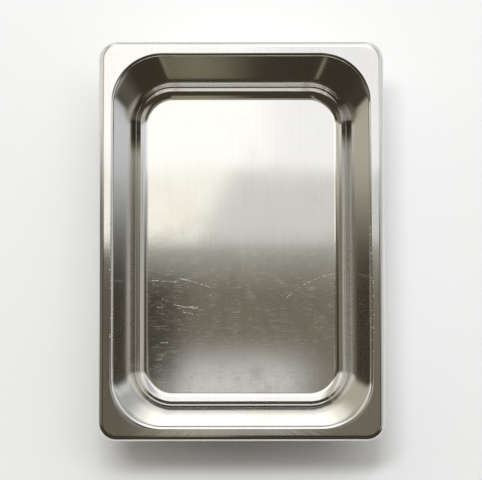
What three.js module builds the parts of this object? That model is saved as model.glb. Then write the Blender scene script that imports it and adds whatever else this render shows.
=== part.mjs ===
// Deli food pan, deep-drawn from one sheet of stainless steel.
// Millimetres, +Z up, +Y along the long side. The origin is the middle of the base's underside.
//
// One section of bent sheet is carried round the plan: floor, cove, step, drafted wall, lip,
// flange, turned-down edge and skirt. The basin's corners tighten on the way down the wall, and
// the flat flange takes up the difference between the opening's corners and the rim's.
import * as THREE from "three";

const sheetThickness = 0.8;

// Rim
const rimWidth = 254; // along X, outside the foot of the skirt
const rimLength = 355; // along Y, outside the foot of the skirt
const rimCornerRadius = 17; // in plan, outside the foot of the skirt
const skirtDepth = 8; // top of the rim to the foot of the skirt
const skirtFlare = 10; // degrees from upright
const flangeWidth = 13.8; // foot of the skirt to the sharp corner of flange and wall

// Basin
const insideDepth = 100; // top of the rim to the floor
const wallDraft = 8.1; // degrees from upright
const openingCornerRadius = 43; // in plan, at the sharp corner of flange and wall
const stepCornerRadius = 37; // in plan, at the head of the step
const stepFall = 2.5; // head of the step to its foot
const stepLedge = 1.2; // how far in the step brings the wall
const coveToStep = 2.1; // rise of the plain wall between cove and step

// Bends, each on the inside of the bent sheet
const edgeBendRadius = 4.2; // flange to skirt
const lipBendRadius = 2.2; // wall to flange
const stepBendRadius = 0.7; // into and out of the step
const coveRadius = 11.5; // floor to wall

// Facets
const cornerFacets = 12; // in each quarter turn of the plan
const bendFacet = 14; // most degrees of bend in one facet of the section

const { degToRad, radToDeg } = THREE.MathUtils;

// A place on the food side of the sheet. In the section, x is the distance in from the foot of
// the skirt and y the height. The way runs from the floor towards the skirt, with the food side
// on its right. The corner reach is how far in from each side the plan's corners are centred.
function sheetStation(place, way, cornerReach) {
  const foodSideNormal = new THREE.Vector2(way.y, -way.x);
  return { place, foodSideNormal, cornerReach };
}

// The stations of one bend, which rounds off the sharp corner of two flat stretches.
function bendStations([before, corner, after], insideRadius, cornerReach) {
  const wayIn = corner.clone().sub(before).normalize();
  const wayOut = after.clone().sub(corner).normalize();
  const turn = Math.atan2(wayIn.cross(wayOut), wayIn.dot(wayOut));
  const foodSideIsOutside = turn > 0;
  const radius = insideRadius + (foodSideIsOutside ? sheetThickness : 0);
  const setback = radius * Math.tan(Math.abs(turn) / 2);
  const start = corner.clone().addScaledVector(wayIn, -setback);
  const leftOfWay = new THREE.Vector2(-wayIn.y, wayIn.x);
  const centre = start.clone().addScaledVector(leftOfWay, radius * Math.sign(turn));
  const facets = Math.ceil(radToDeg(Math.abs(turn)) / bendFacet);
  return Array.from({ length: facets + 1 }, (_, facet) => {
    const turned = (turn * facet) / facets;
    const place = start.clone().rotateAround(centre, turned);
    const way = wayIn.clone().rotateAround(new THREE.Vector2(), turned);
    return sheetStation(place, way, cornerReach);
  });
}

// The food side of the sheet, from the edge of the flat floor to the foot of the skirt.
function foodSideStations() {
  const inPerDrop = Math.tan(degToRad(wallDraft));
  const floorHeight = sheetThickness;
  const coveHeadHeight = floorHeight + coveRadius * (1 - Math.sin(degToRad(wallDraft)));
  const stepFootHeight = coveHeadHeight + coveToStep;
  const stepHeadHeight = stepFootHeight + stepFall;
  const rimHeight = floorHeight + insideDepth;

  // The sharp corners that the bends round off
  const stepHeadInset = flangeWidth + (rimHeight - stepHeadHeight) * inPerDrop;
  const stepFootInset = stepHeadInset + stepLedge;
  const wallFootInset = stepFootInset + (stepFootHeight - floorHeight) * inPerDrop;
  const skirtHeadInset = skirtDepth * Math.tan(degToRad(skirtFlare));
  const floorMiddle = new THREE.Vector2(rimWidth / 2, floorHeight);
  const wallFoot = new THREE.Vector2(wallFootInset, floorHeight);
  const stepFoot = new THREE.Vector2(stepFootInset, stepFootHeight);
  const stepHead = new THREE.Vector2(stepHeadInset, stepHeadHeight);
  const wallHead = new THREE.Vector2(flangeWidth, rimHeight);
  const skirtHead = new THREE.Vector2(skirtHeadInset, rimHeight);
  const skirtFoot = new THREE.Vector2(0, rimHeight - skirtDepth);

  const basinReach = stepHeadInset + stepCornerRadius;
  const openingReach = flangeWidth + openingCornerRadius;
  const skirtWay = skirtFoot.clone().sub(skirtHead).normalize();
  return [
    ...bendStations([floorMiddle, wallFoot, stepFoot], coveRadius, basinReach),
    ...bendStations([wallFoot, stepFoot, stepHead], stepBendRadius, basinReach),
    ...bendStations([stepFoot, stepHead, wallHead], stepBendRadius, basinReach),
    ...bendStations([stepHead, wallHead, skirtHead], lipBendRadius, openingReach),
    ...bendStations([wallHead, skirtHead, skirtFoot], edgeBendRadius, rimCornerRadius),
    sheetStation(skirtFoot, skirtWay, rimCornerRadius),
  ];
}

// A closed line round the pan, anticlockwise from above: four arcs and the sides between them.
function lineRoundPan({ place, cornerReach }) {
  const arcRadius = cornerReach - place.x;
  const arcAcross = rimWidth / 2 - cornerReach;
  const arcAlong = rimLength / 2 - cornerReach;
  const corners = [[1, 1], [-1, 1], [-1, -1], [1, -1]];
  return corners.flatMap(([across, along], corner) =>
    Array.from({ length: cornerFacets + 1 }, (_, facet) => {
      const angle = ((corner + facet / cornerFacets) * Math.PI) / 2;
      const x = across * arcAcross + arcRadius * Math.cos(angle);
      const y = along * arcAlong + arcRadius * Math.sin(angle);
      return new THREE.Vector3(x, y, place.y);
    }),
  );
}

// A closed skin over a row of lines, with the first and the last filled in flat.
function skinOver(lines) {
  const lineLength = lines[0].length;
  const points = lines.flat();
  const foodSideMiddle = points.push(new THREE.Vector3(0, 0, lines[0][0].z)) - 1;
  const undersideMiddle = points.push(new THREE.Vector3(0, 0, lines.at(-1)[0].z)) - 1;
  const lastLine = (lines.length - 1) * lineLength;
  const faces = [];
  for (let i = 0; i < lineLength; i++) {
    const next = (i + 1) % lineLength;
    faces.push(foodSideMiddle, i, next);
    faces.push(undersideMiddle, lastLine + next, lastLine + i);
    for (let line = 0; line < lastLine; line += lineLength) {
      const farLine = line + lineLength;
      faces.push(line + i, farLine + i, farLine + next);
      faces.push(line + i, farLine + next, line + next);
    }
  }
  const geometry = new THREE.BufferGeometry().setFromPoints(points);
  geometry.setIndex(faces);
  geometry.computeVertexNormals();
  return geometry;
}

// Up the food side, across the trimmed foot of the skirt and back along the underside.
function drawnSheet() {
  const foodSide = foodSideStations();
  const underside = foodSide.map(({ place, foodSideNormal, cornerReach }) => {
    const below = place.clone().addScaledVector(foodSideNormal, -sheetThickness);
    return { place: below, cornerReach };
  });
  const section = [...foodSide, ...underside.reverse()];
  return skinOver(section.map(lineRoundPan));
}

const foodPan = new THREE.Group();
const stainless = new THREE.MeshStandardMaterial({ color: 0xbfbcb4, roughness: 0.28, metalness: 1 });
const pan = new THREE.Mesh(drawnSheet(), stainless);
pan.name = "pan";
foodPan.add(pan);

export default foodPan;
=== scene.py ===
import math

import bpy
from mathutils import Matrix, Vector


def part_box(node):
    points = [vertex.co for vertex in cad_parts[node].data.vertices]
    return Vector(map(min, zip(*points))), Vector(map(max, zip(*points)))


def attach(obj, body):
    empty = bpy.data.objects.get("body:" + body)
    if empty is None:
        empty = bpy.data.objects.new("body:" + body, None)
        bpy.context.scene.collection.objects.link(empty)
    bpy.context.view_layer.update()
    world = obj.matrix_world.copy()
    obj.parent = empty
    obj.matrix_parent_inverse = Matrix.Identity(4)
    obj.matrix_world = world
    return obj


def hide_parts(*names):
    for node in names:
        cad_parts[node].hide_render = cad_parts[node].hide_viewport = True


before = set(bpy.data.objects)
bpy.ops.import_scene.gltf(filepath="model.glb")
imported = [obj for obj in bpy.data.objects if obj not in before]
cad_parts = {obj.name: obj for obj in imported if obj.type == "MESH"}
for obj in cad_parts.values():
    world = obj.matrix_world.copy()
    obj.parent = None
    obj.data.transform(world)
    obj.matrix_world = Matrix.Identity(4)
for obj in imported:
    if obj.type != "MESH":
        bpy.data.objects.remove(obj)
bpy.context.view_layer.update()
panLow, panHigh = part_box("pan")
print("frame loaded")


# small helpers for node trees

def addNode(tree, kind, **settings):
    node = tree.nodes.new(kind)
    for name, value in settings.items():
        setattr(node, name, value)
    return node


def plug(tree, socket, value):
    if isinstance(value, bpy.types.NodeSocket):
        tree.links.new(value, socket)
    else:
        socket.default_value = value


def calc(tree, operation, *values):
    node = addNode(tree, "ShaderNodeMath", operation=operation)
    for socket, value in zip(node.inputs, values):
        plug(tree, socket, value)
    return node.outputs[0]


def vectorCalc(tree, operation, *values):
    node = addNode(tree, "ShaderNodeVectorMath", operation=operation)
    for socket, value in zip(node.inputs, values):
        plug(tree, socket, value)
    return node.outputs[0]


def vectorTimes(tree, vector, factor):
    node = addNode(tree, "ShaderNodeVectorMath", operation="SCALE")
    plug(tree, node.inputs["Vector"], vector)
    plug(tree, node.inputs["Scale"], factor)
    return node.outputs[0]


def combine(tree, x, y, z):
    node = addNode(tree, "ShaderNodeCombineXYZ")
    for socket, value in zip(node.inputs, (x, y, z)):
        plug(tree, socket, value)
    return node.outputs[0]


def softStep(tree, value, low, high, newLow=0.0, newHigh=1.0):
    node = addNode(tree, "ShaderNodeMapRange", interpolation_type="SMOOTHSTEP")
    for name, given in (("Value", value), ("From Min", low), ("From Max", high),
                        ("To Min", newLow), ("To Max", newHigh)):
        plug(tree, node.inputs[name], given)
    return node.outputs[0]


def noise(tree, place, scale, detail, roughness=0.5):
    node = addNode(tree, "ShaderNodeTexNoise")
    for name, given in (("Vector", place), ("Scale", scale), ("Detail", detail),
                        ("Roughness", roughness)):
        plug(tree, node.inputs[name], given)
    return node.outputs[0]


def mixVectors(tree, share, first, second, label=""):
    node = addNode(tree, "ShaderNodeMix", data_type="VECTOR", label=label)
    sockets = node.inputs["Factor"], node.inputs[4], node.inputs[5]
    for socket, given in zip(sockets, (share, first, second)):
        plug(tree, socket, given)
    return node.outputs[1]


def mixColours(tree, share, first, second):
    node = addNode(tree, "ShaderNodeMix", data_type="RGBA")
    sockets = node.inputs["Factor"], node.inputs[6], node.inputs[7]
    for socket, given in zip(sockets, (share, first, second)):
        plug(tree, socket, given)
    return node.outputs[2]


# the pan: one section of bent sheet, carried round the plan

panSizes = {
    "sheet": 0.0008,
    "insideDepth": 0.100,
    "flangeWidth": 0.0138,      # foot of the skirt to the sharp corner of flange and wall
    "rimCorner": 0.017,
    "skirtDepth": 0.008,
    "skirtFlare": 10,           # degrees from upright
    "wallDraft": 8.1,           # degrees from upright
    "openingCorner": 0.043,
    "stepCorner": 0.037,
    "stepFall": 0.0038,
    "stepLedge": 0.0005,
    "coveToStep": 0.0011,
    "edgeBend": 0.0042,         # bends are on the inside of the sheet
    "lipBend": 0.0022,
    "stepBend": 0.0028,
    "cove": 0.0126,
    "longestStretch": 0.009,    # between two rows of the mesh on a flat stretch
    "bendSupport": 0.0003,      # from a bend to the first row beside it
    "bendFacets": 11,
    "cornerFacets": 24,
    "sideFacets": 56,
    "trimRounding": 0.00012,
    "trimAngle": 60,            # only edges sharper than this are rounded, in degrees
    "longWave": 0.0001,         # how far the sheet waves in and out all over
    "longWaveScale": 11,
    "rimWave": 0.000015,        # a finer one round the rim
    "rimWaveScale": 70,
    "rimBand": (0.008, 0.002),  # below the top, where the finer one sets in
    "seam": 0.00001,            # points closer than this are one
}


def sectionCorners(s, halfWidth):
    # each corner: inset from the foot of the skirt, height, bend radius on the food side, and how
    # far in from each side the plan's corners are centred
    inPerDrop = math.tan(math.radians(s["wallDraft"]))
    floor = s["sheet"]
    rim = floor + s["insideDepth"]
    coveHead = floor + s["cove"] * (1 - math.sin(math.radians(s["wallDraft"])))
    stepFoot = coveHead + s["coveToStep"]
    stepHead = stepFoot + s["stepFall"]
    stepHeadInset = s["flangeWidth"] + (rim - stepHead) * inPerDrop
    stepFootInset = stepHeadInset + s["stepLedge"]
    wallFootInset = stepFootInset + (stepFoot - floor) * inPerDrop
    basinReach = stepHeadInset + s["stepCorner"]
    openingReach = s["flangeWidth"] + s["openingCorner"]
    skirtHeadInset = s["skirtDepth"] * math.tan(math.radians(s["skirtFlare"]))
    return [
        (halfWidth, floor, 0, basinReach),
        (wallFootInset, floor, s["cove"], basinReach),
        (stepFootInset, stepFoot, s["stepBend"] + s["sheet"], basinReach),
        (stepHeadInset, stepHead, s["stepBend"], basinReach),
        (s["flangeWidth"], rim, s["lipBend"] + s["sheet"], openingReach),
        (skirtHeadInset, rim, s["edgeBend"] + s["sheet"], s["rimCorner"]),
        (0, rim - s["skirtDepth"], 0, s["rimCorner"]),
    ]


def setback(before, corner, after):
    # from the sharp corner to where its bend begins
    wayIn = Vector((corner[0] - before[0], corner[1] - before[1]))
    wayOut = Vector((after[0] - corner[0], after[1] - corner[1]))
    return corner[2] * math.tan(wayIn.angle(wayOut) / 2)


def sectionMesh(s, halfWidth):
    # each flat stretch gets a row close to the bend at either end, so the shading stays flat to there
    corners = sectionCorners(s, halfWidth)
    setbacks = [0, *map(setback, corners, corners[1:], corners[2:]), 0]
    rows = [corners[0]]
    for k, (before, after) in enumerate(zip(corners, corners[1:])):
        length = math.dist(before[:2], after[:2])
        start, end = (part + s["bendSupport"] for part in setbacks[k:k + 2])
        free = length - start - end
        count = math.ceil(free / s["longestStretch"])
        for step in range(count + 1 if free > s["bendSupport"] else 0):
            share = (start + free * step / count) / length
            inset, height, _, reach = (a + (b - a) * share for a, b in zip(before, after))
            rows.append((inset, height, 0, reach))
        rows.append(after)
    mesh = bpy.data.meshes.new("panSection")
    mesh.from_pydata([(inset, 0, height) for inset, height, _, _ in rows],
                     [(k, k + 1) for k in range(len(rows) - 1)], [])
    for name, column in (("bendRadius", 2), ("cornerReach", 3)):
        attribute = mesh.attributes.new(name, "FLOAT", "POINT")
        attribute.data.foreach_set("value", [row[column] for row in rows])
    return mesh


def newGeometryTree(name, inputs):
    tree = bpy.data.node_groups.new(name, "GeometryNodeTree")
    tree.interface.new_socket("Geometry", in_out="INPUT", socket_type="NodeSocketGeometry")
    tree.interface.new_socket("Geometry", in_out="OUTPUT", socket_type="NodeSocketGeometry")
    identifiers = {}
    for label, kind in inputs:
        socket = tree.interface.new_socket(label, in_out="INPUT", socket_type=kind)
        identifiers[label] = socket.identifier
    return tree, identifiers


def namedNumber(tree, name):
    node = addNode(tree, "GeometryNodeInputNamedAttribute", data_type="FLOAT")
    node.inputs["Name"].default_value = name
    return node.outputs["Attribute"]


def sampleRow(tree, curve, value, index, kind):
    node = addNode(tree, "GeometryNodeSampleIndex", data_type=kind, domain="POINT")
    plug(tree, node.inputs["Geometry"], curve)
    plug(tree, node.inputs["Value"], value)
    plug(tree, node.inputs["Index"], index)
    return node.outputs["Value"]


def carryRoundTree():
    tree, identifiers = newGeometryTree("carrySectionRound", [
        ("Rim Width", "NodeSocketFloat"),
        ("Rim Length", "NodeSocketFloat"),
        ("Corner Facets", "NodeSocketInt"),
        ("Side Facets", "NodeSocketInt"),
        ("Bend Facets", "NodeSocketInt"),
        ("Long Wave", "NodeSocketFloat"),
        ("Long Wave Scale", "NodeSocketFloat"),
        ("Rim Wave", "NodeSocketFloat"),
        ("Rim Wave Scale", "NodeSocketFloat"),
        ("Rim Band Low", "NodeSocketFloat"),
        ("Rim Band High", "NodeSocketFloat"),
        ("Seam", "NodeSocketFloat"),
        ("Steel", "NodeSocketMaterial"),
    ])
    given = addNode(tree, "NodeGroupInput").outputs
    position = addNode(tree, "GeometryNodeInputPosition").outputs[0]

    # round off the section's bends
    toCurve = addNode(tree, "GeometryNodeMeshToCurve")
    plug(tree, toCurve.inputs["Mesh"], given["Geometry"])
    fillet = addNode(tree, "GeometryNodeFilletCurve", mode="POLY")
    plug(tree, fillet.inputs["Curve"], toCurve.outputs[0])
    plug(tree, fillet.inputs["Count"], given["Bend Facets"])
    plug(tree, fillet.inputs["Radius"], namedNumber(tree, "bendRadius"))
    section = fillet.outputs[0]
    size = addNode(tree, "GeometryNodeAttributeDomainSize", component="CURVE")
    plug(tree, size.inputs["Geometry"], section)
    rows = size.outputs["Point Count"]

    # a grid: one column for each place round the pan, one row for each point of the section
    perQuarter = calc(tree, "ADD", given["Corner Facets"], given["Side Facets"])
    columns = calc(tree, "MULTIPLY_ADD", perQuarter, 4, 1)
    grid = addNode(tree, "GeometryNodeMeshGrid")
    plug(tree, grid.inputs["Vertices X"], columns)
    plug(tree, grid.inputs["Vertices Y"], rows)
    index = addNode(tree, "GeometryNodeInputIndex").outputs[0]
    column = calc(tree, "FLOOR", calc(tree, "DIVIDE", calc(tree, "ADD", index, 0.5), rows))
    row = calc(tree, "ROUND", calc(tree, "SUBTRACT", index, calc(tree, "MULTIPLY", column, rows)))

    # where that column stands: in a corner's arc, or along the side that follows it
    quarter = calc(tree, "FLOOR", calc(tree, "DIVIDE", calc(tree, "ADD", column, 0.5), perQuarter))
    step = calc(tree, "SUBTRACT", column, calc(tree, "MULTIPLY", quarter, perQuarter))
    turned = calc(tree, "MINIMUM", calc(tree, "DIVIDE", step, given["Corner Facets"]), 1)
    pastArc = calc(tree, "MAXIMUM", calc(tree, "SUBTRACT", step, given["Corner Facets"]), 0)
    along = calc(tree, "DIVIDE", pastArc, given["Side Facets"])
    quarterTurn = math.pi / 2
    angle = calc(tree, "MULTIPLY", calc(tree, "ADD", quarter, turned), quarterTurn)
    outward = combine(tree, calc(tree, "COSINE", angle), calc(tree, "SINE", angle), 0)

    def cornerSide(extra):
        diagonal = calc(tree, "MULTIPLY_ADD", quarter, quarterTurn, quarterTurn * (0.5 + extra))
        signs = combine(tree, calc(tree, "COSINE", diagonal), calc(tree, "SINE", diagonal), 0)
        return vectorTimes(tree, signs, math.sqrt(2))

    side = mixVectors(tree, along, cornerSide(0), cornerSide(1))

    # the section's own figures at that row
    spot = addNode(tree, "ShaderNodeSeparateXYZ")
    plug(tree, spot.inputs[0], sampleRow(tree, section, position, row, "FLOAT_VECTOR"))
    inset, height = spot.outputs[0], spot.outputs[2]
    splineLength = addNode(tree, "GeometryNodeSplineParameter").outputs["Length"]
    run = sampleRow(tree, section, splineLength, row, "FLOAT")
    statedReach = sampleRow(tree, section, namedNumber(tree, "cornerReach"), row, "FLOAT")
    reach = calc(tree, "MAXIMUM", statedReach, inset)
    halfWidth = calc(tree, "MULTIPLY", given["Rim Width"], 0.5)
    halfLength = calc(tree, "MULTIPLY", given["Rim Length"], 0.5)
    arcCentre = combine(tree, calc(tree, "SUBTRACT", halfWidth, reach),
                        calc(tree, "SUBTRACT", halfLength, reach), 0)
    centre = vectorCalc(tree, "MULTIPLY", side, arcCentre)

    def roundPlan(insetHere):
        arm = vectorTimes(tree, outward, calc(tree, "SUBTRACT", reach, insetHere))
        return vectorCalc(tree, "ADD", centre, arm)

    place = vectorCalc(tree, "ADD", roundPlan(inset), combine(tree, 0, 0, height))
    # the blank is the same sheet laid out flat, so the rolled grain follows it over every bend
    blank = roundPlan(calc(tree, "SUBTRACT", halfWidth, run))
    setPlace = addNode(tree, "GeometryNodeSetPosition")
    plug(tree, setPlace.inputs["Position"], place)
    perPoint = addNode(tree, "GeometryNodeFieldOnDomain", data_type="FLOAT_VECTOR", domain="POINT")
    plug(tree, perPoint.inputs[0], blank)
    storeBlank = addNode(tree, "GeometryNodeStoreNamedAttribute", data_type="FLOAT2", domain="CORNER")
    storeBlank.inputs["Name"].default_value = "blank"
    plug(tree, storeBlank.inputs["Geometry"], grid.outputs["Mesh"])
    plug(tree, storeBlank.inputs["Value"], perPoint.outputs[0])
    faceUp = addNode(tree, "GeometryNodeFlipFaces")
    plug(tree, faceUp.inputs["Mesh"], storeBlank.outputs[0])
    plug(tree, setPlace.inputs["Geometry"], faceUp.outputs[0])
    merge = addNode(tree, "GeometryNodeMergeByDistance")
    plug(tree, merge.inputs["Geometry"], setPlace.outputs[0])
    plug(tree, merge.inputs["Distance"], given["Seam"])

    # drawn sheet is never dead flat: long shallow waves, and a finer one round the rim
    normal = addNode(tree, "GeometryNodeInputNormal").outputs[0]
    heightHere = addNode(tree, "ShaderNodeSeparateXYZ")
    plug(tree, heightHere.inputs[0], position)
    nearRim = softStep(tree, heightHere.outputs[2], given["Rim Band Low"], given["Rim Band High"])
    longWave = calc(tree, "SUBTRACT", noise(tree, position, given["Long Wave Scale"], 1), 0.5)
    fineWave = calc(tree, "SUBTRACT", noise(tree, position, given["Rim Wave Scale"], 1), 0.5)
    rimPart = calc(tree, "MULTIPLY", calc(tree, "MULTIPLY", fineWave, given["Rim Wave"]), nearRim)
    lift = calc(tree, "MULTIPLY_ADD", longWave, given["Long Wave"], rimPart)
    wave = addNode(tree, "GeometryNodeSetPosition")
    plug(tree, wave.inputs["Geometry"], merge.outputs[0])
    plug(tree, wave.inputs["Offset"], vectorTimes(tree, normal, lift))

    smooth = addNode(tree, "GeometryNodeSetShadeSmooth")
    plug(tree, smooth.inputs["Geometry"], wave.outputs[0])
    realize = addNode(tree, "GeometryNodeRealizeInstances")
    plug(tree, realize.inputs[0], smooth.outputs[0])
    finish = addNode(tree, "GeometryNodeSetMaterial")
    plug(tree, finish.inputs["Geometry"], realize.outputs[0])
    plug(tree, finish.inputs["Material"], given["Steel"])
    out = addNode(tree, "NodeGroupOutput")
    plug(tree, out.inputs[0], finish.outputs[0])
    return tree, identifiers


def bakedCopy(source, name):
    depsgraph = bpy.context.evaluated_depsgraph_get()
    mesh = bpy.data.meshes.new_from_object(source.evaluated_get(depsgraph))
    mesh.name = name
    copy = bpy.data.objects.new(name, mesh)
    bpy.context.scene.collection.objects.link(copy)
    bpy.data.objects.remove(source)
    return copy


def makePan(steel):
    s = panSizes
    rimWidth = panHigh.x - panLow.x
    tree, identifiers = carryRoundTree()
    section = bpy.data.objects.new("panSection", sectionMesh(s, rimWidth / 2))
    bpy.context.scene.collection.objects.link(section)
    modifier = section.modifiers.new("carrySectionRound", "NODES")
    modifier.node_group = tree
    for label, value in (
        ("Rim Width", rimWidth),
        ("Rim Length", panHigh.y - panLow.y),
        ("Corner Facets", s["cornerFacets"]),
        ("Side Facets", s["sideFacets"]),
        ("Bend Facets", s["bendFacets"]),
        ("Long Wave", s["longWave"]),
        ("Long Wave Scale", float(s["longWaveScale"])),
        ("Rim Wave", s["rimWave"]),
        ("Rim Wave Scale", float(s["rimWaveScale"])),
        ("Rim Band Low", panHigh.z - s["rimBand"][0]),
        ("Rim Band High", panHigh.z - s["rimBand"][1]),
        ("Seam", s["seam"]),
        ("Steel", steel),
    ):
        modifier[identifiers[label]] = value
    sheet = bakedCopy(section, "panSheet")
    thickness = sheet.modifiers.new("sheet", "SOLIDIFY")
    thickness.thickness = s["sheet"]
    thickness.offset = -1
    thickness.use_even_offset = True
    trim = sheet.modifiers.new("trimmedEdge", "BEVEL")
    trim.width = s["trimRounding"]
    trim.segments = 2
    trim.limit_method = "ANGLE"
    trim.angle_limit = math.radians(s["trimAngle"])
    return bakedCopy(sheet, "panShell")


# satin stainless steel

steelSizes = {
    "colours": {
        "clean": (0.75, 0.742, 0.715, 1),
        "film": (0.60, 0.53, 0.42, 1),          # thin and brown, left by heat and washing
        "rim": (0.67, 0.665, 0.65, 1),
        "paleStreaks": (0.86, 0.86, 0.86, 1),
        "bareMetalAndGlint": (0.95, 0.94, 0.90, 1),     # paler metal in hairlines and scratches, and a painted glint in the lip's pits
        "floorPits": (0.30, 0.26, 0.21, 1),
    },
    # the share of its colour that each lends at its strongest
    "tints": {"film": 0.18, "nearFilm": 0.12, "paleStreaks": 0.16, "hairlines": 0.26,
              "scratches": 0.45, "lipPitsAndGlints": 0.6, "floorPits": 0.45},
    # of the clean floor, and what each thing adds
    "roughness": {"clean": 0.032, "wall": 0.07, "cloud": 0.02, "grain": 0.02, "hairlines": 0.07,
                  "scratches": 0.3, "pits": 0.5, "film": 0.12},
    # in micrometres
    "depths": {"grain": 1.6, "broadGrain": 1.5, "hairlines": 1.0, "scratches": 6, "pits": 30},
    "grainOnRim": 0.25,                         # the share of the grain's depth that the rim has
    # soft edges, in metres: of the height, of y, down from the top, and of the distance from x = 0
    "foodSide": (0.0003, 0.0006),
    "floorTop": (0.0012, 0.004),
    "nearHalf": (-0.055, 0.03),
    "rimDown": (0.003, 0.001),
    "lipInner": (0.1128, 0.1136),
    "lipOuter": (0.1160, 0.1172),
    # degrees from x, length, width, seed, detail
    "grain": (90, 0.022, 0.0004, 1, 2),         # along the blank, as the sheet was rolled
    "broadGrain": (90, 0.060, 0.0018, 2, 2),
    "cloud": (16, 3, 0.6),                      # scale, detail, roughness
    "fineCloud": (75, 3, 0.6),
    "filmEdge": (0.48, 0.72),
    "paleEdge": (0.35, 0.75),
    # hairlines: degrees from x, length, width, seed, and how strong the noise is where one starts
    "wiped": [
        (2, 0.018, 0.00045, 3, 0.62),
        (-8, 0.011, 0.0004, 4, 0.66),
        (14, 0.014, 0.0004, 5, 0.68),
    ],
    "crossing": [
        (75, 0.024, 0.0004, 6, 0.70),
        (38, 0.014, 0.0004, 7, 0.74),
    ],
    "wipedShares": (0.1, 0.75),                 # all over, and what the near floor has more
    "crossingShare": 0.35,
    "hairlineEdge": 0.07,
    "hairlinePatches": (0.46, 0.6),
    # single scratches on the floor: start, end, bow to the left, width, how broken up
    "scratches": [
        ((0.0395, -0.0524), (0.0880, -0.0262), 0.0042, 0.00042, 1.0),
        ((-0.0609, -0.0303), (-0.0290, -0.0394), 0.0008, 0.00035, 0.85),
        ((-0.0647, -0.0553), (-0.0404, -0.0589), -0.0006, 0.00042, 0.6),
        ((-0.0600, -0.0592), (-0.0404, -0.0572), 0.0005, 0.00035, 0.8),
        ((-0.0567, -0.0622), (-0.0453, -0.0645), 0.0, 0.0004, 0.7),
        ((-0.0761, -0.0914), (-0.0690, -0.0912), 0.0, 0.00042, 0.4),
        ((-0.0900, -0.0330), (-0.0600, -0.0345), 0.0006, 0.0003, 1.0),
    ],
    "scratchWander": 0.0008,
    "scratchWanderScale": 150,
    "scratchCore": 0.35,                        # the share of its width that is at full depth
    "scratchEnds": ((0, 0.06), (0.92, 1)),      # where it fades in and out, as shares of its length
    "scratchDotScale": 700,
    "scratchDots": (0.5, 0.56),
    # pits: spacing, radius, the share of places that have one
    # the lip's pits are real dents, but their colour is painted bright as a glint
    "lipPitsAndGlints": (0.0020, 0.0006, 0.5),
    "lipPitsMiddle": -0.035,
    "lipPitsReach": (0.05, 0.075),
    "floorPits": (0.0075, 0.00055, 0.22),
    "floorPitsShares": (0.3, 0.7),              # all over, and what the near floor has more
}


def turned(tree, vector, degrees):
    node = addNode(tree, "ShaderNodeVectorRotate", rotation_type="Z_AXIS")
    plug(tree, node.inputs["Vector"], vector)
    node.inputs["Angle"].default_value = math.radians(degrees)
    return node.outputs[0]


def streaks(tree, place, degrees, length, width, seed, detail):
    # stretched noise: marks of about that length and width, along a way turned from x
    spot = vectorCalc(tree, "MULTIPLY", turned(tree, place, -degrees), (1 / length, 1 / width, 1))
    return noise(tree, vectorCalc(tree, "ADD", spot, (seed * 7.3, seed * 3.1, seed)), 1, detail)


def hairlines(tree, place, degrees, length, width, seed, start):
    strength = streaks(tree, place, degrees, length, width, seed, 0)
    lines = softStep(tree, strength, start, start + steelSizes["hairlineEdge"])
    patches = softStep(tree, noise(tree, place, 60 + 9 * seed, 1), *steelSizes["hairlinePatches"])
    return calc(tree, "MULTIPLY", lines, patches)


def scratch(tree, place, start, end, bow, width, broken):
    s = steelSizes
    reach = Vector((end[0] - start[0], end[1] - start[1], 0))
    way = reach.normalized()
    side = Vector((-way.y, way.x, 0))
    arm = vectorCalc(tree, "SUBTRACT", place, (*start, 0))

    def part(direction, scale):
        node = addNode(tree, "ShaderNodeVectorMath", operation="DOT_PRODUCT")
        plug(tree, node.inputs[0], arm)
        plug(tree, node.inputs[1], tuple(direction * scale))
        return node.outputs["Value"]

    share = part(way, 1 / reach.length)
    arch = calc(tree, "MULTIPLY", share, calc(tree, "SUBTRACT", 1, share))
    bulge = calc(tree, "MULTIPLY", arch, 4 * bow)
    unevenness = calc(tree, "SUBTRACT", noise(tree, place, s["scratchWanderScale"], 1), 0.5)
    wander = calc(tree, "MULTIPLY", unevenness, s["scratchWander"])
    off = calc(tree, "ADD", calc(tree, "SUBTRACT", part(side, 1), bulge), wander)
    line = softStep(tree, calc(tree, "ABSOLUTE", off), width * s["scratchCore"], width, 1, 0)
    fadeIn, fadeOut = s["scratchEnds"]
    ends = calc(tree, "MULTIPLY", softStep(tree, share, *fadeIn), softStep(tree, share, *fadeOut, 1, 0))
    dots = softStep(tree, noise(tree, place, s["scratchDotScale"], 0), *s["scratchDots"], 1 - broken, 1)
    return calc(tree, "MULTIPLY", calc(tree, "MULTIPLY", line, ends), dots)


def pits(tree, place, spacing, radius, share):
    # small round pits, in only a share of the cells
    node = addNode(tree, "ShaderNodeTexVoronoi", feature="F1")
    plug(tree, node.inputs["Vector"], place)
    node.inputs["Scale"].default_value = 1 / spacing
    dot = softStep(tree, node.outputs["Distance"], 0.5 * radius / spacing, radius / spacing, 1, 0)
    pick = addNode(tree, "ShaderNodeSeparateXYZ")
    plug(tree, pick.inputs[0], node.outputs["Color"])
    chosen = softStep(tree, pick.outputs[0], share, share + 0.02, 1, 0)
    return calc(tree, "MULTIPLY", dot, chosen)


def most(tree, *values):
    result = values[0]
    for value in values[1:]:
        result = calc(tree, "MAXIMUM", result, value)
    return result


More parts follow.
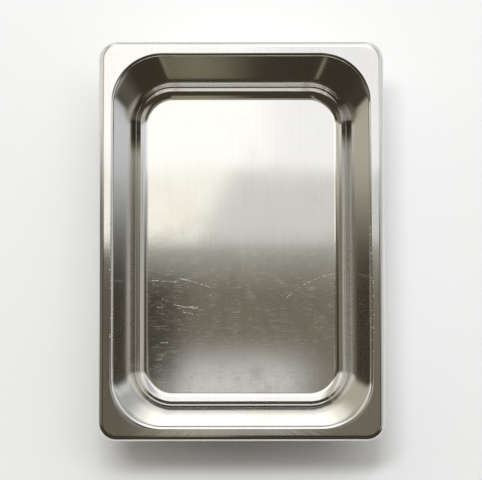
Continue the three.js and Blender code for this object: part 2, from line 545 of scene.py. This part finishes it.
def steelMaterial():
    s = steelSizes
    colours, tints, roughnesses, depths = s["colours"], s["tints"], s["roughness"], s["depths"]
    steel = bpy.data.materials.new("satinStainless")
    steel.use_nodes = True
    tree = steel.node_tree
    shader = tree.nodes["Principled BSDF"]
    shader.inputs["Metallic"].default_value = 1.0
    place = addNode(tree, "ShaderNodeTexCoord").outputs["Object"]
    blank = addNode(tree, "ShaderNodeUVMap", uv_map="blank").outputs[0]
    spot = addNode(tree, "ShaderNodeSeparateXYZ")
    plug(tree, spot.inputs[0], place)
    x, y, z = spot.outputs

    # where on the pan
    onFoodSide = softStep(tree, z, *s["foodSide"])
    onFloor = calc(tree, "MULTIPLY", softStep(tree, z, *s["floorTop"], 1, 0), onFoodSide)
    nearHalf = softStep(tree, y, *s["nearHalf"], 1, 0)
    nearFloor = calc(tree, "MULTIPLY", onFloor, nearHalf)
    onRim = softStep(tree, z, *(panHigh.z - down for down in s["rimDown"]))
    onWall = calc(tree, "SUBTRACT", calc(tree, "SUBTRACT", 1, onFloor), onRim)
    fromMiddle = calc(tree, "ABSOLUTE", x)
    lipSide = calc(tree, "MULTIPLY", softStep(tree, fromMiddle, *s["lipInner"]),
                   softStep(tree, fromMiddle, *s["lipOuter"], 1, 0))

    # rolled grain along the blank, and a broader unevenness of it
    grain = streaks(tree, blank, *s["grain"])
    broadGrain = streaks(tree, blank, *s["broadGrain"])
    cloud = noise(tree, place, *s["cloud"])
    fineCloud = noise(tree, place, *s["fineCloud"])

    # hairlines from wiping and stacking, most of them in the near half of the floor
    allOver, nearMore = s["wipedShares"]
    wiped = most(tree, *(hairlines(tree, blank, *given) for given in s["wiped"]))
    wiped = calc(tree, "MULTIPLY", wiped, calc(tree, "MULTIPLY_ADD", nearFloor, nearMore, allOver))
    crossing = most(tree, *(hairlines(tree, blank, *given) for given in s["crossing"]))
    hair = calc(tree, "ADD", wiped, calc(tree, "MULTIPLY", crossing, s["crossingShare"]))
    single = calc(tree, "MULTIPLY", onFloor,
                  most(tree, *(scratch(tree, place, *given) for given in s["scratches"])))

    # pits: a chain along the lip on both long sides, whose bright colour is a painted glint, and a few
    # scattered ones
    fromChain = calc(tree, "ABSOLUTE", calc(tree, "ADD", y, -s["lipPitsMiddle"]))
    chainSpan = softStep(tree, fromChain, *s["lipPitsReach"], 1, 0)
    chain = calc(tree, "MULTIPLY", calc(tree, "MULTIPLY", lipSide, chainSpan),
                 calc(tree, "MULTIPLY", onRim, pits(tree, place, *s["lipPitsAndGlints"])))
    allOver, nearMore = s["floorPitsShares"]
    scattered = calc(tree, "MULTIPLY", pits(tree, place, *s["floorPits"]),
                     calc(tree, "MULTIPLY_ADD", nearFloor, nearMore, allOver))
    pitted = most(tree, chain, scattered)

    film = calc(tree, "MULTIPLY", softStep(tree, cloud, *s["filmEdge"]),
                calc(tree, "MULTIPLY_ADD", nearHalf, tints["nearFilm"], tints["film"]))
    colour = mixColours(tree, film, colours["clean"], colours["film"])
    colour = mixColours(tree, calc(tree, "MULTIPLY", onRim, fineCloud), colour, colours["rim"])
    paler = softStep(tree, broadGrain, *s["paleEdge"], 0, tints["paleStreaks"])
    colour = mixColours(tree, paler, colour, colours["paleStreaks"])
    # paler metal in hairlines and scratches; in the lip's chain of pits this is a painted glint
    bareAndGlint = most(tree,
                calc(tree, "MULTIPLY", hair, tints["hairlines"]),
                calc(tree, "MULTIPLY", single, tints["scratches"]),
                calc(tree, "MULTIPLY", chain, tints["lipPitsAndGlints"]))
    colour = mixColours(tree, bareAndGlint, colour, colours["bareMetalAndGlint"])
    dirty = calc(tree, "MULTIPLY", scattered, tints["floorPits"])
    plug(tree, shader.inputs["Base Color"], mixColours(tree, dirty, colour, colours["floorPits"]))

    wallMore = calc(tree, "MULTIPLY", onWall, roughnesses["wall"])
    roughness = calc(tree, "ADD", roughnesses["clean"], wallMore)
    for name, value in (("cloud", fineCloud), ("grain", grain), ("hairlines", hair),
                        ("scratches", single), ("pits", pitted), ("film", film)):
        roughness = calc(tree, "MULTIPLY_ADD", value, roughnesses[name], roughness)
    plug(tree, shader.inputs["Roughness"], roughness)

    height = calc(tree, "MULTIPLY", grain, depths["grain"])
    height = calc(tree, "MULTIPLY_ADD", broadGrain, depths["broadGrain"], height)
    height = calc(tree, "MULTIPLY", height, calc(tree, "MULTIPLY_ADD", onRim, s["grainOnRim"] - 1, 1))
    for name, value in (("hairlines", hair), ("scratches", single), ("pits", pitted)):
        height = calc(tree, "MULTIPLY_ADD", value, -depths[name], height)
    bump = addNode(tree, "ShaderNodeBump")
    bump.inputs["Distance"].default_value = 0.000001
    plug(tree, bump.inputs["Height"], height)
    plug(tree, shader.inputs["Normal"], bump.outputs[0])
    return steel


# the stage: a pale table under a dome with a bright far side and a dark near one

tableSizes = {
    "halfWidth": 4.0,
    "belowPan": 0.0003,
    "paint": (0.85, 0.855, 0.87, 1),
    "roughness": 0.6,
}


def makeTable():
    s = tableSizes
    mesh = bpy.data.meshes.new("table")
    top = panLow.z - s["belowPan"]
    corners = [(-1, -1), (1, -1), (1, 1), (-1, 1)]
    mesh.from_pydata([(across * s["halfWidth"], along * s["halfWidth"], top) for across, along in corners],
                     [], [(0, 1, 2, 3)])
    paint = bpy.data.materials.new("paleTable")
    paint.use_nodes = True
    shader = paint.node_tree.nodes["Principled BSDF"]
    shader.inputs["Base Color"].default_value = s["paint"]
    shader.inputs["Roughness"].default_value = s["roughness"]
    mesh.materials.append(paint)
    board = bpy.data.objects.new("table", mesh)
    bpy.context.scene.collection.objects.link(board)


# The dome round the pan, as soft-edged panels of light and dark. Places are in degrees: how far a
# direction leans to the right, then how far it leans to the far side. Later ones cover earlier ones.
dome = {
    "panels": [
        # name, (from, to) across, (from, to) along, softness across and along, colour, strength
        ("ceiling", (-4.4, 14), (-9, 30), (2.0, 1.4), (1.0, 0.90, 0.69), 0.20),
        ("ceilingFar", (-4.4, 14), (2.1, 30), (2.0, 0.7), (1.0, 0.975, 0.86), 0.36),
        ("rightRoom", (30, 80), (-20, 10), (8, 8), (1.0, 0.96, 0.88), 0.50),
        ("leftRoom", (-80, -32), (-10, 10), (8, 8), (1.0, 0.90, 0.70), 0.21),
        ("farWall", (-90, 90), (6.2, 80), (2, 2), (1.0, 0.985, 0.95), 0.95),
        ("rightLow", (62, 90), (-60, 60), (5, 8), (1.0, 1.0, 1.0), 0.80),
        ("leftSide", (-40, -10), (9, 40), (4, 3), (1.0, 0.97, 0.88), 0.66),
        ("rightSide", (10, 40), (9, 40), (4, 3), (0.95, 0.98, 1.0), 0.62),
        ("rightSky", (14, 40), (4.6, 9), (4, 3), (0.92, 0.96, 1.03), 0.90),
        ("leftSky", (-40, -12), (4.4, 60), (4, 2.4), (1.0, 0.95, 0.79), 0.63),
        ("leftWall", (-13, -4.2), (-8, 2.6), (1.2, 1.0), (1.0, 0.90, 0.68), 0.16),
        ("windowFrame", (-3, 8), (3.2, 30), (1.0, 0.25), (1.0, 1.0, 0.965), 0.79),
        ("windowLeft", (-9, -1.2), (3.15, 30), (0.4, 0.2), (1.0, 0.985, 0.90), 1.2),
        ("window", (-14, 14), (5.9, 28), (5, 0.3), (1.0, 0.995, 0.965), 1.36),
        ("windowRight", (1.0, 14), (5.9, 13), (1.2, 0.6), (0.985, 0.985, 1.0), 1.17),
        ("skyAbove", (-6, 6), (14, 32), (4, 3), (1.0, 0.975, 0.92), 2.0),
        ("skyHigh", (-20, 20), (29, 80), (8, 4), (1.0, 1.0, 1.0), 1.25),
        ("behindLamp", (-3.0, -0.3), (-31, -3.2), (1, 1), (1.0, 0.90, 0.66), 0.30),
        ("gap", (-2.8, 2.4), (-3.4, -1.0), (1.2, 0.9), (1.0, 0.99, 0.97), 0.75),
        ("maker", (-4.3, -2.2), (-2.0, 2.0), (0.8, 0.8), (1.0, 0.90, 0.70), 0.06),
    ],
    "windowSlant": 0.44,                # how far the left window's right edge leans over
    "slantFrom": 3.7,                   # degrees along where it starts to
    "room": (0.058, 0.049, 0.033),      # what no panel covers
    "backdrop": (0.87, 0.88, 0.90),     # what the camera sees of it
}


def makeDome():
    world = bpy.data.worlds.new("studio")
    bpy.context.scene.world = world
    world.use_nodes = True
    tree = world.node_tree
    background = tree.nodes["Background"]
    way = addNode(tree, "ShaderNodeSeparateXYZ")
    plug(tree, way.inputs[0], addNode(tree, "ShaderNodeTexCoord").outputs["Generated"])
    across = calc(tree, "ARCSINE", way.outputs[0])
    along = calc(tree, "ARCSINE", way.outputs[1])
    overFar = calc(tree, "SUBTRACT", along, math.radians(dome["slantFrom"]))
    slanted = calc(tree, "SUBTRACT", across, calc(tree, "MULTIPLY", overFar, dome["windowSlant"]))
    light = combine(tree, *dome["room"])
    for name, *spans, soft, colour, strength in dome["panels"]:
        inside = 1.0
        leaning = slanted if name == "windowLeft" else across
        for tilt, (low, high), blur in zip((leaning, along), spans, soft):
            for edge, before, after in ((low, 0, 1), (high, 1, 0)):
                step = softStep(tree, tilt, math.radians(edge - blur), math.radians(edge + blur),
                                before, after)
                inside = calc(tree, "MULTIPLY", inside, step)
        light = mixVectors(tree, inside, light, tuple(part * strength for part in colour), name)
    seen = addNode(tree, "ShaderNodeLightPath").outputs["Is Camera Ray"]
    plug(tree, background.inputs["Color"], mixVectors(tree, seen, light, dome["backdrop"], "backdrop"))


# soft lamps over the far side, which light the table and give the short shadow on the near side
lampSizes = {
    "distance": 3.0,
    # name, degrees across and along, size across and along in degrees, share of the table's light
    "lamps": [
        ("leftLamp", (-6, 16), (20, 6), 0.42),
        ("rightLamp", (14, 17), (34, 8), 0.15),
    ],
}


def makeLamps():
    distance = lampSizes["distance"]
    for name, lean, size, share in lampSizes["lamps"]:
        across, along = (math.tan(math.radians(part)) for part in lean)
        way = Vector((across, along, 1)).normalized()
        data = bpy.data.lights.new(name, "AREA")
        data.shape = "RECTANGLE"
        data.size, data.size_y = (2 * distance * math.tan(math.radians(part / 2)) for part in size)
        # P watts give P / (pi * distance^2) straight ahead, and an all-white dome gives pi
        data.energy = share * math.pi * math.pi * distance ** 2 / way.z
        lamp = bpy.data.objects.new(name, data)
        bpy.context.scene.collection.objects.link(lamp)
        lamp.location = way * distance
        lamp.rotation_euler = way.to_track_quat("Z", "Y").to_euler()
        lamp.visible_glossy = False


# looking down on the pan, a little towards its far end
cameraSizes = {
    "fromCentre": (-0.0019, -0.0812),
    "aboveRim": 1.394,
    "tilt": (3.32, -0.06, -0.07),   # degrees
    "lens": 118.2,                  # both in millimetres
    "sensor": 36,
    "clip": (0.05, 50),
}


def makeCamera():
    data = bpy.data.cameras.new("camera")
    data.lens = cameraSizes["lens"]
    data.sensor_width = cameraSizes["sensor"]
    data.clip_start, data.clip_end = cameraSizes["clip"]
    camera = bpy.data.objects.new("camera", data)
    bpy.context.scene.collection.objects.link(camera)
    camera.location = (*cameraSizes["fromCentre"], panHigh.z + cameraSizes["aboveRim"])
    camera.rotation_euler = [math.radians(part) for part in cameraSizes["tilt"]]
    bpy.context.scene.camera = camera


makeCamera()
makeTable()
makeDome()
makeLamps()
print("table, dome, lamps and camera made")
pan = makePan(steelMaterial())
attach(pan, "root")
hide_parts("pan")
print("pan made:", len(pan.data.polygons), "faces")

bpy.context.scene.view_settings.view_transform = "Standard"
